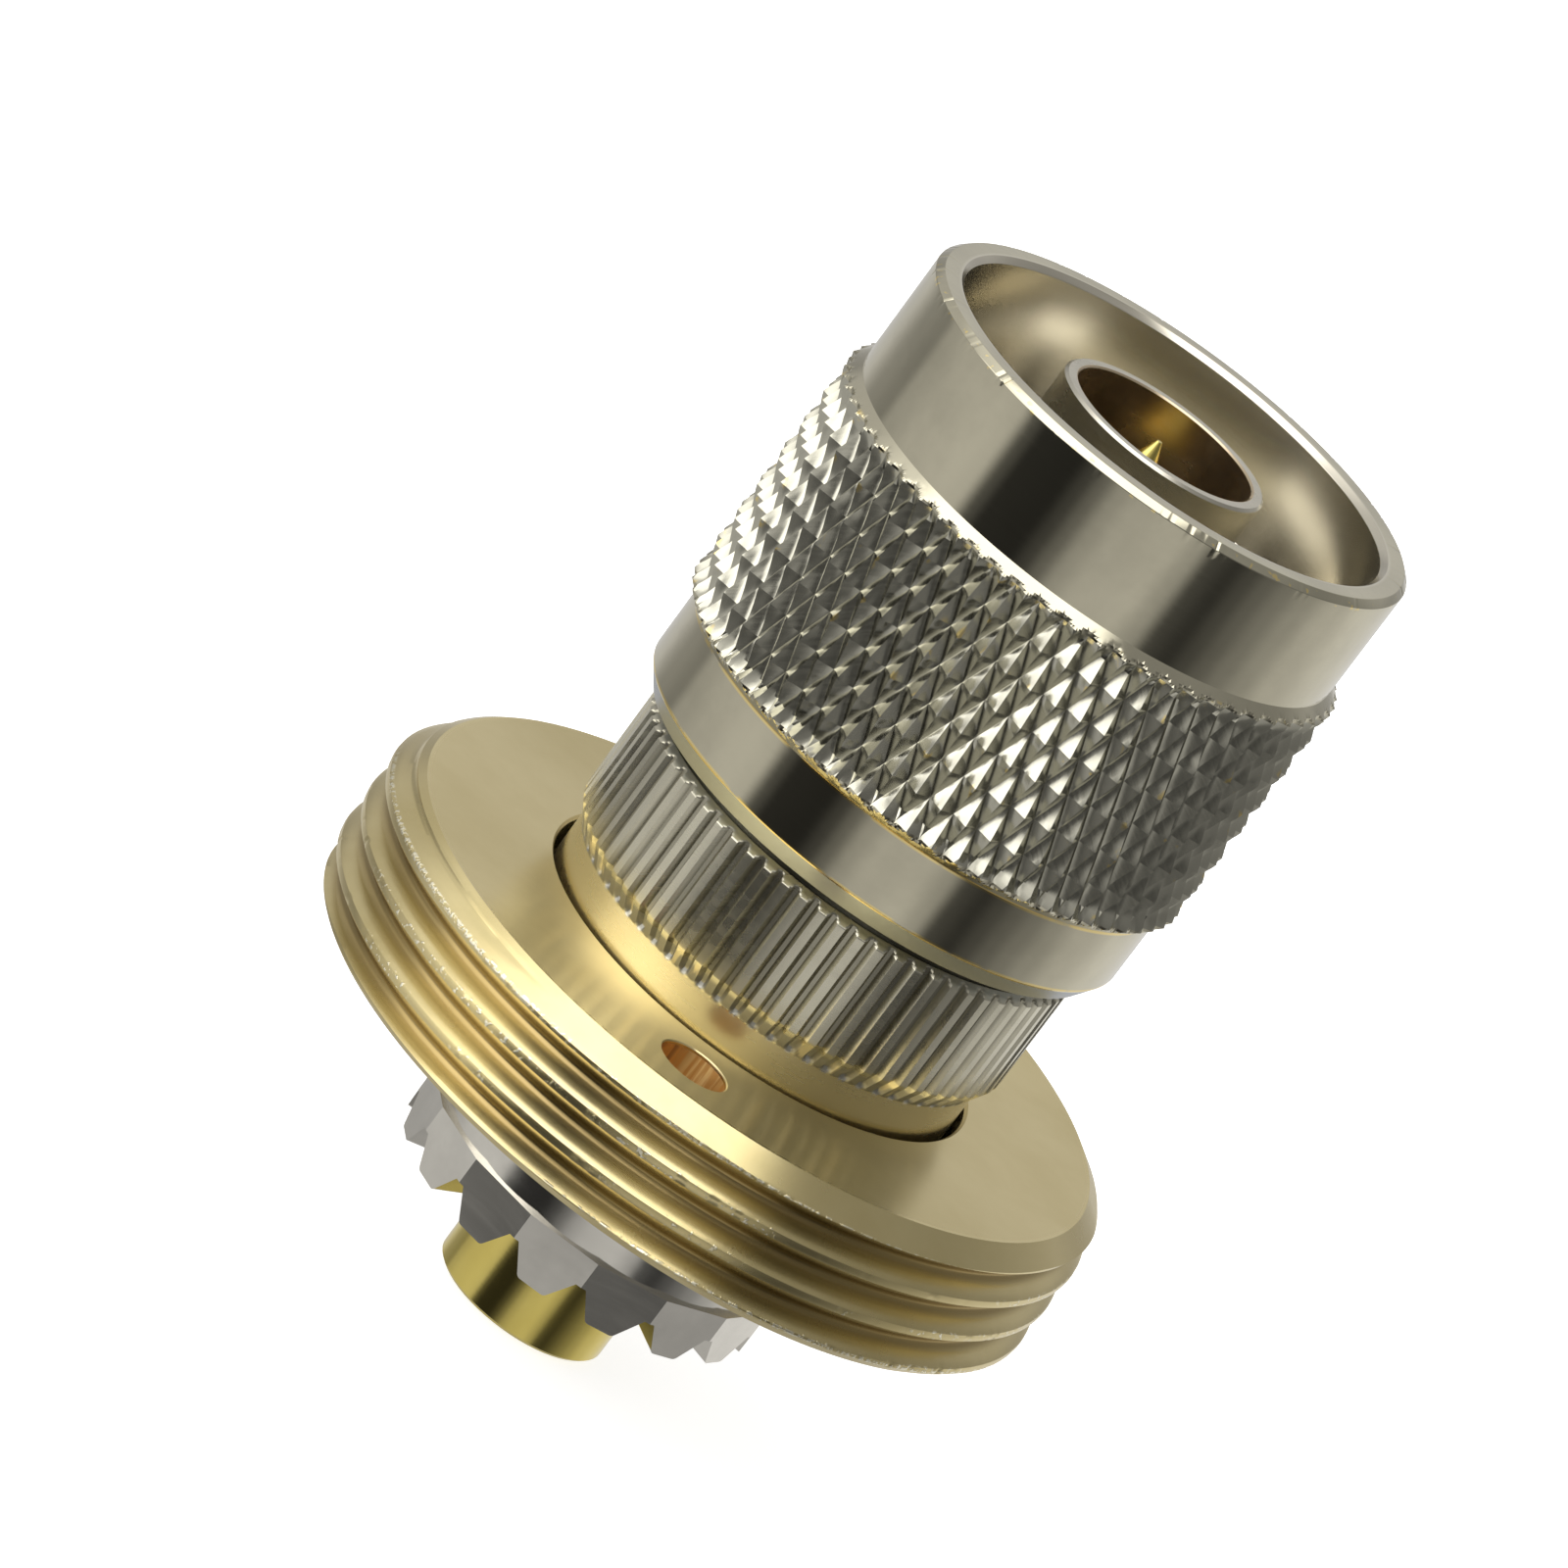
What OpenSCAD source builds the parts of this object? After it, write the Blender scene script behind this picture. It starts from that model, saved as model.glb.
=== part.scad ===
// Coaxial adapter, standing upright on the end of its contact sleeve.
// A plug with a knurled coupling nut is at the top. Below it a threaded brass
// ring turns freely between the straight knurl and the toothed crown.

/* [Coupling nut] */
// Diameter of the smooth bands of the nut
nut_d = 19; // [18.8:0.1:19.4]
// Diameter over the points of the diamond knurl
knurl_d = 20; // [19.8:0.1:20.6]
// Depth of the diamond knurl
knurl_depth = 0.42; // [0.3:0.02:0.44]
// Number of grooves each way round the nut
knurl_grooves = 64; // [48:4:72]
// Number of rows of diamonds along the nut
knurl_rows = 7; // [5:1:8]
// Height of one row of diamonds
knurl_row_h = 1.275; // [1.1:0.025:1.35]
// Length of the shoulder at each end of the diamond knurl
knurl_shoulder = 0.44; // [0.3:0.02:0.6]
// Length of the smooth band below the knurl, with its chamfer
nut_tail = 3.3; // [2.6:0.1:4]
// Height of the chamfer at the nut's lower end
nut_tail_chamfer = 0.75; // [0.4:0.05:1]
// Diameter of the nut's lower end inside the chamfer
nut_end_d = 18; // [17.6:0.1:18.6]
// Length of the smooth band above the knurl
nut_nose = 4.45; // [3:0.05:6]
// Diameter of the smooth mouth of the nut
mouth_d = 16.8; // [16.4:0.1:17.2]
// Depth of the smooth mouth
mouth_depth = 4.3; // [4.1:0.1:4.6]
// Chamfer round the outside of the rim
rim_chamfer = 0.3; // [0.1:0.05:0.4]
// Bore of the nut's thread
nut_thread_d = 14.74; // [14.6:0.02:15.2]
// Length of the relief under the nut's thread
nut_relief_l = 2; // [1.5:0.1:3]
// Radial room in that relief round the snap ring
nut_relief_room = 0.9; // [0.6:0.05:1.1]
// Thickness of the inward flange that holds the nut on
nut_flange_t = 1.8; // [1.2:0.1:2.2]

/* [Body] */
// Diameter over the lands of the straight knurl
body_d = 17.24; // [17:0.02:17.8]
// Number of flutes in the straight knurl
flutes = 70; // [48:2:84]
// Depth of a flute
flute_depth = 0.25; // [0.1:0.01:0.25]
// Share of the pitch that a flute takes
flute_share = 0.55; // [0.3:0.05:0.7]
// Length of the straight knurl, with its lower chamfer
body_knurl_l = 5.15; // [4:0.05:7]
// Height of the chamfer below the straight knurl
body_chamfer = 0.8; // [0.5:0.05:1.2]
// Chamfer at the upper end of the straight knurl
body_top_chamfer = 0.3; // [0.1:0.05:0.4]
// Diameter of the plain collar that passes through the ring
collar_d = 16.3; // [16:0.02:16.6]
// Height of the shoulder that the nut rests on
nut_seat_h = 0.35; // [0.2:0.05:0.8]
// Diameter of that shoulder
nut_seat_d = 15; // [14:0.1:16]
// Diameter of the neck that the nut turns on
neck_d = 12.8; // [12.4:0.1:13.2]
// Length of the neck above the shoulder
neck_l = 5.85; // [4.5:0.05:6.5]
// Diameter of the threaded spigot that carries the crown
spigot_d = 10.8; // [10.6:0.1:11.2]

/* [Snap ring] */
// Thickness of the snap ring
snap_t = 0.8; // [0.5:0.1:1]
// How far the snap ring stands out of the neck
snap_rise = 0.8; // [0.6:0.05:0.9]
// Depth of the groove that the snap ring sits in
snap_groove = 0.5; // [0.3:0.05:0.6]
// Gap between the ends of the snap ring
snap_gap = 2.2; // [1:0.1:4]

/* [Threaded ring] */
// Outside diameter of the ring's thread
ring_d = 29; // [28:0.5:32]
// Thickness of the ring
ring_t = 5.35; // [4.5:0.05:7]
// Diameter of the ring's bore
ring_bore_d = 16.8; // [16.7:0.02:17]
// Pitch of the ring's thread
ring_pitch = 1.5; // [1:0.25:1.5]
// Depth of the ring's thread
ring_thread_depth = 0.7; // [0.4:0.05:0.75]
// Width of the land on the thread's crest
ring_crest = 0.35; // [0.1:0.05:0.4]
// Width of the bevel round the ring's upper face
ring_bevel_w = 0.96; // [0.8:0.02:1.1]
// Height of that bevel
ring_bevel_h = 0.72; // [0.5:0.02:0.9]
// Chamfer round the ring's lower face
ring_foot = 0.35; // [0.2:0.05:0.5]
// Free travel of the ring between the crown and the body
ring_play = 1.25; // [0.5:0.05:3]
// Diameter of a spanner hole
spanner_d = 2.56; // [2:0.02:3]
// Distance between the two spanner holes
spanner_span = 21.7; // [21:0.1:22]

/* [Crown] */
// Size of the crown across two opposite teeth
crown_d = 14.1; // [13.6:0.1:14.8]
// Number of teeth
crown_teeth = 16; // [12:2:20]
// Depth of the gaps between the teeth
tooth_h = 1.06; // [0.8:0.02:1.3]
// Width of a tooth at its tip
tooth_tip = 1.08; // [0.9:0.02:1.3]
// Rounding of the tooth tips
tooth_round = 0.2; // [0.1:0.05:0.3]
// Width of the floor of a gap
tooth_floor = 0.4; // [0.2:0.02:0.5]
// Height of the toothed band, from the tips to the step above it
crown_band = 2.1; // [1.6:0.05:2.3]
// Diameter of the round neck above the toothed band
crown_neck_d = 13.8; // [13.2:0.1:14]
// Bore inside the teeth
crown_bore_d = 10; // [9:0.1:10.4]
// Depth of that bore, from the tips
crown_recess = 1.8; // [1.4:0.1:2.2]
// Thickness of the web that holds the sleeve
crown_web = 0.8; // [0.6:0.1:1.2]
// Length of the crown, from the tips to the face that the ring rests on
crown_l = 5.87; // [5.4:0.01:7]
// Diameter of the flange that carries the ring
crown_flange_d = 18.8; // [18.2:0.1:19]
// Thickness of that flange
crown_flange_t = 1.2; // [0.8:0.1:1.5]

/* [Plug end] */
// Outside diameter of the outer conductor tube
tube_d = 8; // [7.8:0.05:8.2]
// Bore of the tube
tube_bore_d = 7; // [6.8:0.05:7.1]
// How far the tube stands out of the body
tube_reach = 11.15; // [9:0.05:12]
// Diameter of the tube's foot inside the body
tube_foot_d = 9.2; // [9:0.1:9.4]
// Length of the tube's foot
tube_foot_l = 5.3; // [4.5:0.1:6]
// Diameter of the front bead
front_bead_d = 8.2; // [8:0.05:8.4]
// Thickness of the front bead
front_bead_t = 3; // [2:0.1:3.5]
// Distance from the tube's end to the point of the pin
pin_set_back = 0.35; // [0.1:0.05:1]
// Distance from the tube's end to the shoulder of the pin
pin_shoulder_back = 5.3; // [5:0.05:5.6]
// Diameter of the pin
pin_d = 1.65; // [1.6:0.01:1.7]
// Length of the pin's pointed end
pin_point_l = 1.7; // [1:0.1:2]
// Diameter of the blunt end of the point
pin_tip_d = 0.2; // [0.1:0.05:0.4]
// Diameter of the centre conductor in the plug
centre_d = 3.04; // [2.9:0.02:3.1]

/* [Sleeve end] */
// Outside diameter of the sleeve
sleeve_d = 6.6; // [6.2:0.05:7]
// How far the sleeve stands out past the teeth
sleeve_reach = 3.43; // [2:0.01:5]
// Bore of the sleeve
sleeve_bore_d = 3.5; // [3.4:0.02:3.6]
// Diameter of the land that centres the sleeve in the crown
sleeve_land_d = 7.8; // [7.4:0.1:8.2]
// How far that land shows below the crown's web
sleeve_land_l = 0.25; // [0.2:0.05:0.5]
// Diameter of the flange that holds the sleeve
sleeve_flange_d = 10.4; // [9.8:0.1:10.6]
// Thickness of that flange
sleeve_flange_t = 0.8; // [0.6:0.1:1]
// Chamfer at the sleeve's open end
sleeve_chamfer = 0.12; // [0.05:0.01:0.25]
// Diameter of the rear contact
contact_d = 1.52; // [1.4:0.02:1.6]
// Bore of the rear contact
contact_bore_d = 0.94; // [0.8:0.02:1]
// Depth of that bore
contact_bore_l = 3; // [2:0.1:4]
// Width of the slots in the rear contact
contact_slot = 0.14; // [0.1:0.01:0.2]
// Distance from the sleeve's end to the end of the rear contact
contact_set_back = 0.15; // [0.05:0.01:0.5]
// Diameter of the rear bead
rear_bead_d = 4.8; // [4.4:0.1:5.4]
// Thickness of the rear bead
rear_bead_t = 1.5; // [1:0.1:2]
// Height of the step between the wide and the narrow line, above the bush's foot
line_step_h = 9.2; // [7:0.1:10]

/* [Fits] */
// Radial clearance of the nut on its neck
running = 0.08; // [0.03:0.01:0.1]
// Axial clearance of a piece that turns
axial = 0.05; // [0.02:0.01:0.1]
// Radial clearance of pieces that are pushed together
push = 0.02; // [0.01:0.01:0.03]

/* [Hidden] */

// Colours
nickel = [0.74, 0.72, 0.66];
satin_nickel = [0.66, 0.64, 0.60];
brass = [0.80, 0.70, 0.42];
gold = [0.86, 0.70, 0.30];
bead_white = [0.92, 0.90, 0.84];
spring_metal = [0.55, 0.53, 0.50];

// Smoothness of the round surfaces
round_fn = 96;
// Flats that round the tip of a tooth
corner_steps = 3;
// Columns of the thread in one turn
thread_columns = 72;
// Angle between the flanks of a thread
thread_angle = 60;
// Turns of the thread below the ring's lower face, where its points lie folded together
spare_turns = 3;

// Small edges
edge = 0.1;
fine_edge = 0.06;
wide_edge = 0.2;
// Overlap of joined shapes, and the step that keeps two faces from falling together
joint = 0.02;
// Overlap of cutters past the faces that they open
over = 1;

// Heights along the axis, from the end of the sleeve
z_tips = sleeve_reach;
z_web = z_tips + crown_recess;
z_land = z_web - sleeve_land_l;
z_sleeve_seat = z_web + crown_web;
z_bush_foot = z_sleeve_seat + sleeve_flange_t;
z_ring_seat = z_tips + crown_l;
z_ring = z_ring_seat + axial;
z_ring_top = z_ring + ring_t;
z_body_knurl = z_ring_top + ring_play;
z_body_top = z_body_knurl + body_knurl_l;
z_nut_seat = z_body_top + nut_seat_h;
z_body_front = z_nut_seat + neck_l;
z_nut = z_nut_seat + axial;
z_nut_flange = z_nut + nut_flange_t;
z_snap = z_nut_flange + axial;
z_nut_thread = z_nut_flange + nut_relief_l;
z_knurl = z_nut + nut_tail + knurl_shoulder;
z_knurl_top = z_knurl + knurl_rows * knurl_row_h;
z_rim = z_knurl_top + knurl_shoulder + nut_nose;
z_mouth = z_rim - mouth_depth;
z_tube_top = z_body_front + tube_reach;
z_foot_top = z_snap + snap_t + axial;
z_tube_foot = z_foot_top - tube_foot_l;
z_pin_point = z_tube_top - pin_set_back;
z_pin_shoulder = z_tube_top - pin_shoulder_back;

// Radii and small lengths that several pieces share
nut_r = nut_d / 2;
body_r = body_d / 2;
neck_r = neck_d / 2;
spigot_r = spigot_d / 2;
ring_r = ring_d / 2;
crown_r = crown_d / 2;
tube_r = tube_d / 2;
tube_foot_r = tube_foot_d / 2;
line_r = tube_bore_d / 2;
front_bead_r = front_bead_d / 2;
rear_bead_r = rear_bead_d / 2;
sleeve_r = sleeve_d / 2;
sleeve_land_r = sleeve_land_d / 2;
sleeve_bore_r = sleeve_bore_d / 2;
centre_r = centre_d / 2;
contact_r = contact_d / 2;
snap_groove_r = neck_r - snap_groove;
snap_r = neck_r + snap_rise;
// Length of the bush's nose inside the foot of the tube
bush_nose_l = 2;
z_bead = z_tube_foot + bush_nose_l;
z_bead_top = z_bead + front_bead_t;
z_line_step = z_bush_foot + line_step_h;
z_rear_bead_top = z_bush_foot + rear_bead_t;
// Depth of the grooves that hold the beads on the centre line
bead_groove = 0.27;
contact_groove = 0.2;
// Stud that joins the rear contact to the centre conductor
stud_r = 0.58;
stud_l = 1.9;

// The solid that a half section makes round the axis
module turned(section) {
  rotate_extrude($fn = round_fn) polygon(section);
}

// A round hole or rod from one height to another
module round_bar(r, z0, z1) {
  translate([0, 0, z0]) cylinder(r = r, h = z1 - z0, $fn = round_fn);
}

// A point at a radius, an angle and a height
function polar(r, a, z) = [r * cos(a), r * sin(a), z];

// Diamond knurl: a sleeve of pointed pyramids that ends in a shoulder above and below.
// Its columns stand at every half pitch, where points and roots take turns.
module diamond_knurl() {
  root_r = knurl_d / 2 - knurl_depth;
  ledge_r = nut_r + joint;
  inner_r = nut_r - knurl_depth;
  columns = 2 * knurl_grooves;
  slope = knurl_shoulder / (knurl_d / 2 - ledge_r);
  function level_r(i, j) = (i + j) % 2 == 0 ? knurl_d / 2 : root_r;
  function run_out(i, j) = slope * (knurl_d / 2 - level_r(i, j));
  function column(i) = let (a = i * 360 / columns) concat(
    [polar(ledge_r, a, z_knurl - knurl_shoulder)],
    [polar(level_r(i, 0), a, z_knurl - run_out(i, 0))],
    [for (j = [1 : knurl_rows - 1]) polar(level_r(i, j), a, z_knurl + j * knurl_row_h)],
    [polar(level_r(i, knurl_rows), a, z_knurl_top + run_out(i, knurl_rows))],
    [polar(ledge_r, a, z_knurl_top + knurl_shoulder)],
    [polar(inner_r, a, z_knurl_top + knurl_shoulder)],
    [polar(inner_r, a, z_knurl - knurl_shoulder)]
  );
  n = knurl_rows + 5;
  // A cell between two columns is cut along the groove, from root to root
  function cell(i, j, a, b) = j >= 1 && j <= knurl_rows && (i + j) % 2 == 1
    ? [[a + j, a + j + 1, b + j], [a + j + 1, b + j + 1, b + j]]
    : [[a + j, a + (j + 1) % n, b + (j + 1) % n], [a + j, b + (j + 1) % n, b + j]];
  faces = [
    for (i = [0 : columns - 1])
      let (a = i * n, b = ((i + 1) % columns) * n)
        for (j = [0 : n - 1]) each cell(i, j, a, b)
  ];
  polyhedron(points = [for (i = [0 : columns - 1]) each column(i)], faces = faces, convexity = 8);
}

// Nut with its plain section; the diamond knurl stands round it
module coupling_nut() {
  end_r = nut_end_d / 2;
  thread_r = nut_thread_d / 2;
  relief_r = snap_r + nut_relief_room;
  mouth_r = mouth_d / 2;
  flange_r = neck_r + running;
  color(nickel) union() {
    turned([
      [flange_r, z_nut + edge],
      [flange_r + edge, z_nut],
      [end_r, z_nut],
      [nut_r, z_nut + nut_tail_chamfer],
      [nut_r, z_rim - rim_chamfer],
      [nut_r - rim_chamfer, z_rim],
      [mouth_r + wide_edge, z_rim],
      [mouth_r, z_rim - wide_edge],
      [mouth_r, z_mouth],
      [thread_r, z_mouth - (mouth_r - thread_r)],
      [thread_r, z_nut_thread],
      [relief_r, z_nut_thread - (relief_r - thread_r)],
      [relief_r, z_nut_flange],
      [flange_r, z_nut_flange]
    ]);
    diamond_knurl();
  }
}

// Open ring in the groove of the neck, which keeps the nut from lifting off
module nut_snap_ring() {
  color(spring_metal) difference() {
    round_bar(snap_r, z_snap, z_snap + snap_t);
    round_bar(snap_groove_r + push, z_snap - over, z_snap + snap_t + over);
    translate([0, -snap_gap / 2, z_snap - over]) cube([snap_r + over, snap_gap, snap_t + 2 * over]);
  }
}

// Body: straight knurl, plain collar through the ring, and the neck inside the nut
module knurled_body() {
  bore_r = tube_foot_r + push;
  collar_r = collar_d / 2;
  seat_r = nut_seat_d / 2;
  color(nickel) difference() {
    turned([
      [bore_r, z_bush_foot],
      [spigot_r, z_bush_foot],
      [spigot_r, z_ring_seat],
      [collar_r - edge, z_ring_seat],
      [collar_r, z_ring_seat + edge],
      [collar_r, z_body_knurl],
      [body_r, z_body_knurl + body_chamfer],
      [body_r, z_body_top - body_top_chamfer],
      [body_r - body_top_chamfer, z_body_top],
      [seat_r, z_body_top],
      [seat_r, z_nut_seat],
      [neck_r, z_nut_seat],
      [neck_r, z_snap - axial / 2],
      [snap_groove_r, z_snap - axial / 2],
      [snap_groove_r, z_snap + snap_t + axial / 2],
      [neck_r, z_snap + snap_t + axial / 2],
      [neck_r, z_body_front - wide_edge],
      [neck_r - wide_edge, z_body_front],
      [tube_r + push, z_body_front],
      [tube_r + push, z_foot_top],
      [bore_r, z_foot_top]
    ]);
    for (i = [0 : flutes - 1]) rotate([0, 0, i * 360 / flutes]) flute();
  }
}

// Cutter for one flute: an upright groove of V section
module flute() {
  half = flute_share * PI * body_r / flutes;
  rise = over * half / flute_depth;
  translate([0, 0, z_body_knurl - over]) linear_extrude(body_knurl_l + nut_seat_h / 2 + over) polygon([
    [body_r - flute_depth, 0],
    [body_r + over, -half - rise],
    [body_r + over, half + rise]
  ]);
}

// Tube that carries the plug's outer contact, held by its foot inside the body
module outer_conductor() {
  seat_r = front_bead_r + push;
  color(nickel) turned([
    [seat_r, z_tube_foot],
    [tube_foot_r, z_tube_foot],
    [tube_foot_r, z_foot_top],
    [tube_r, z_foot_top],
    [tube_r, z_tube_top - edge],
    [tube_r - edge, z_tube_top],
    [line_r + fine_edge, z_tube_top],
    [line_r, z_tube_top - fine_edge],
    [line_r, z_bead_top],
    [seat_r, z_bead_top]
  ]);
}

// Centre conductor with its pointed pin
module centre_conductor() {
  groove_r = centre_r - bead_groove;
  pin_r = pin_d / 2;
  color(gold) difference() {
    turned([
      [0, z_line_step],
      [centre_r - edge, z_line_step],
      [centre_r, z_line_step + edge],
      [centre_r, z_bead],
      [groove_r, z_bead],
      [groove_r, z_bead_top],
      [centre_r, z_bead_top],
      [centre_r, z_pin_shoulder - edge],
      [centre_r - edge, z_pin_shoulder],
      [pin_r, z_pin_shoulder],
      [pin_r, z_pin_point - pin_point_l],
      [pin_tip_d / 2, z_pin_point],
      [0, z_pin_point]
    ]);
    round_bar(stud_r + push, z_line_step - over, z_line_step + stud_l + push);
  }
}

// Washer-shaped insulator
module bead(hole_r, r, z0, z1) {
  color(bead_white) difference() {
    round_bar(r, z0, z1);
    round_bar(hole_r, z0 - over, z1 + over);
  }
}

module front_bead() {
  bead(centre_r - bead_groove + push, front_bead_r, z_bead, z_bead_top);
}

module rear_bead() {
  bead(contact_r - contact_groove + push, rear_bead_r, z_bush_foot, z_rear_bead_top);
}

// Bush between the wide line of the plug and the narrow line of the sleeve
module line_bush() {
  color(brass) turned([
    [rear_bead_r + push, z_bush_foot],
    [tube_foot_r, z_bush_foot],
    [tube_foot_r, z_tube_foot],
    [front_bead_r, z_tube_foot],
    [front_bead_r, z_bead],
    [line_r, z_bead],
    [line_r, z_line_step],
    [sleeve_bore_r, z_line_step],
    [sleeve_bore_r, z_rear_bead_top],
    [rear_bead_r + push, z_rear_bead_top]
  ]);
}

// Values in rising order
function rising(v) = len(v) < 2 ? v : let (p = v[floor(len(v) / 2)]) concat(
  rising([for (x = v) if (x < p) x]),
  [for (x = v) if (x == p) x],
  rising([for (x = v) if (x > p) x])
);

// Outside of the ring: a right-hand thread cut by the bevel and by the lower chamfer
module ring_thread() {
  root_r = ring_r - ring_thread_depth;
  face_r = ring_r - ring_bevel_w;
  inner_r = face_r - ring_thread_depth;
  z_low = z_ring + joint / 2;
  z_high = z_ring_top - joint / 2;
  z_bevel = z_ring_top - ring_bevel_h;
  flank = ring_thread_depth * tan(thread_angle / 2) / ring_pitch;
  crest = ring_crest / ring_pitch;
  // Radius through one pitch, upwards from the lower edge of the crest
  thread = [[0, ring_r], [crest, ring_r], [crest + flank, root_r], [1 - flank, root_r], [1, ring_r]];
  blank = [
    [z_ring, ring_r - ring_foot],
    [z_ring + ring_foot, ring_r],
    [z_bevel, ring_r],
    [z_ring_top, face_r]
  ];
  // Height at which a crest starts, on the side that faces the first spanner hole
  z_start = z_ring + ring_pitch * 2 - joint;
  first = floor((z_low - z_start) / ring_pitch) - spare_turns;
  final = ceil((z_high - z_start) / ring_pitch);
  function start(a) = z_start + ring_pitch * (a + 90) / 360;
  function share(z, a) = let (u = (z - start(a)) / ring_pitch) u - floor(u);
  function surface_r(z, a) = min(lookup(share(z, a), thread), lookup(z, blank));
  function kept(z) = min(max(z, z_low), z_high);
  function heights(a) = rising(concat(
    [z_low, z_ring + ring_foot, z_bevel, z_bevel + ring_bevel_h / 3, z_bevel + ring_bevel_h * 2 / 3, z_high],
    [for (t = [first : final]) for (k = [0 : len(thread) - 2])
      kept(start(a) + ring_pitch * (t + thread[k][0]))]
  ));
  function column(a) = concat(
    [for (z = heights(a)) polar(surface_r(z, a), a, z)],
    [polar(inner_r, a, z_high), polar(inner_r, a, z_low)]
  );
  n = len(column(0));
  last = n - 3;
  // One turn on, each point of the thread is a whole thread higher, so the seam skips one thread's points
  function across(i, j) = i == thread_columns - 1 && j <= last ? min(j + len(thread) - 1, last) : j;
  faces = [
    for (i = [0 : thread_columns - 1])
      let (a = i * n, b = ((i + 1) % thread_columns) * n)
        for (j = [0 : n - 1])
          let (k = (j + 1) % n)
            each [[a + j, a + k, b + across(i, k)], [a + j, b + across(i, k), b + across(i, j)]]
  ];
  points = [for (i = [0 : thread_columns - 1]) each column(i * 360 / thread_columns)];
  polyhedron(points = points, faces = faces, convexity = 8);
}

// Ring that fastens the adapter, with two holes for a pin spanner
module threaded_ring() {
  bore_r = ring_bore_d / 2;
  face_r = ring_r - ring_bevel_w;
  hole_r = spanner_d / 2;
  color(brass) difference() {
    union() {
      turned([
        [bore_r, z_ring + edge],
        [bore_r + edge, z_ring],
        [face_r, z_ring],
        [face_r, z_ring_top],
        [bore_r + edge, z_ring_top],
        [bore_r, z_ring_top - edge]
      ]);
      ring_thread();
    }
    for (a = [-90, 90]) rotate([0, 0, a]) translate([spanner_span / 2, 0, 0]) {
      round_bar(hole_r, z_ring - over, z_ring_top + over);
      translate([0, 0, z_ring_top - edge])
        cylinder(r1 = hole_r, r2 = hole_r + wide_edge, h = wide_edge, $fn = round_fn);
    }
  }
}

// Crown: face teeth below, a flange above that the ring rests on
module crown_ring() {
  neck = crown_neck_d / 2;
  bore_r = crown_bore_d / 2;
  color(satin_nickel) difference() {
    union() {
      toothed_band();
      round_bar(neck, z_tips + crown_band / 2, z_ring_seat);
      round_bar(crown_flange_d / 2, z_ring_seat - crown_flange_t, z_ring_seat);
    }
    round_bar(bore_r, z_tips - over, z_web);
    round_bar(sleeve_land_r + push, z_web - over, z_sleeve_seat + over);
    round_bar(spigot_r + push, z_sleeve_seat, z_ring_seat + over);
    for (i = [0 : crown_teeth - 1]) rotate([0, 0, (i + 0.5) * 360 / crown_teeth - 90]) tooth_gap();
  }
}

// Band with one flat for each tooth
module toothed_band() {
  turn = 360 / crown_teeth;
  corner_r = crown_r / cos(turn / 2);
  translate([0, 0, z_tips]) linear_extrude(crown_band) polygon([
    for (i = [0 : crown_teeth - 1])
      let (a = (i + 0.5) * turn - 90) [corner_r * cos(a), corner_r * sin(a)]
  ]);
}

// Cutter for one gap between two teeth, pointing outwards along X.
// Its sides curve outwards at the bottom and so round the tips of the teeth.
module tooth_gap() {
  opening = 2 * PI * crown_r / crown_teeth - tooth_tip;
  lean = atan2(tooth_h, (opening - tooth_floor) / 2);
  corner = opening / 2 + tooth_round * tan(lean / 2);
  tip = [for (k = [0 : corner_steps]) let (a = -90 - lean * k / corner_steps)
    [corner + tooth_round * cos(a), tooth_round + tooth_round * sin(a)]];
  half = concat([[corner, -over]], tip, [[tooth_floor / 2, tooth_h]]);
  other_half = [for (k = [len(half) - 1 : -1 : 0]) [-half[k][0], half[k][1]]];
  translate([crown_bore_d / 4, 0, z_tips]) rotate([90, 0, 90])
    linear_extrude(crown_r) polygon(concat(half, other_half));
}

// Gold sleeve that the adapter stands on
module port_sleeve() {
  color(gold) turned([
    [sleeve_bore_r + sleeve_chamfer, 0],
    [sleeve_r - sleeve_chamfer, 0],
    [sleeve_r, sleeve_chamfer],
    [sleeve_r, z_land],
    [sleeve_land_r, z_land],
    [sleeve_land_r, z_sleeve_seat],
    [sleeve_flange_d / 2, z_sleeve_seat],
    [sleeve_flange_d / 2, z_bush_foot],
    [sleeve_bore_r, z_bush_foot],
    [sleeve_bore_r, sleeve_chamfer]
  ]);
}

// Slotted contact on the axis of the sleeve
module rear_contact() {
  groove_r = contact_r - contact_groove;
  bore_r = contact_bore_d / 2;
  color(gold) difference() {
    turned([
      [0, contact_set_back],
      [contact_r - fine_edge, contact_set_back],
      [contact_r, contact_set_back + fine_edge],
      [contact_r, z_bush_foot],
      [groove_r, z_bush_foot],
      [groove_r, z_rear_bead_top],
      [contact_r, z_rear_bead_top],
      [contact_r, z_line_step],
      [stud_r, z_line_step],
      [stud_r, z_line_step + stud_l],
      [0, z_line_step + stud_l]
    ]);
    round_bar(bore_r, contact_set_back - over, contact_set_back + contact_bore_l);
    for (a = [0, 90]) rotate([0, 0, a])
      translate([-contact_d, -contact_slot / 2, contact_set_back - over])
        cube([2 * contact_d, contact_slot, contact_bore_l + over]);
  }
}

coupling_nut();
nut_snap_ring();
knurled_body();
outer_conductor();
centre_conductor();
front_bead();
line_bush();
threaded_ring();
crown_ring();
port_sleeve();
rear_bead();
rear_contact();
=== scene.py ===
# Coaxial adapter with a knurled coupling nut, a threaded brass ring and a toothed
# crown, standing on the end of its gold sleeve. Lengths are in metres.
import math

import bmesh
import bpy
import numpy as np
from mathutils import Matrix, Vector


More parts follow.
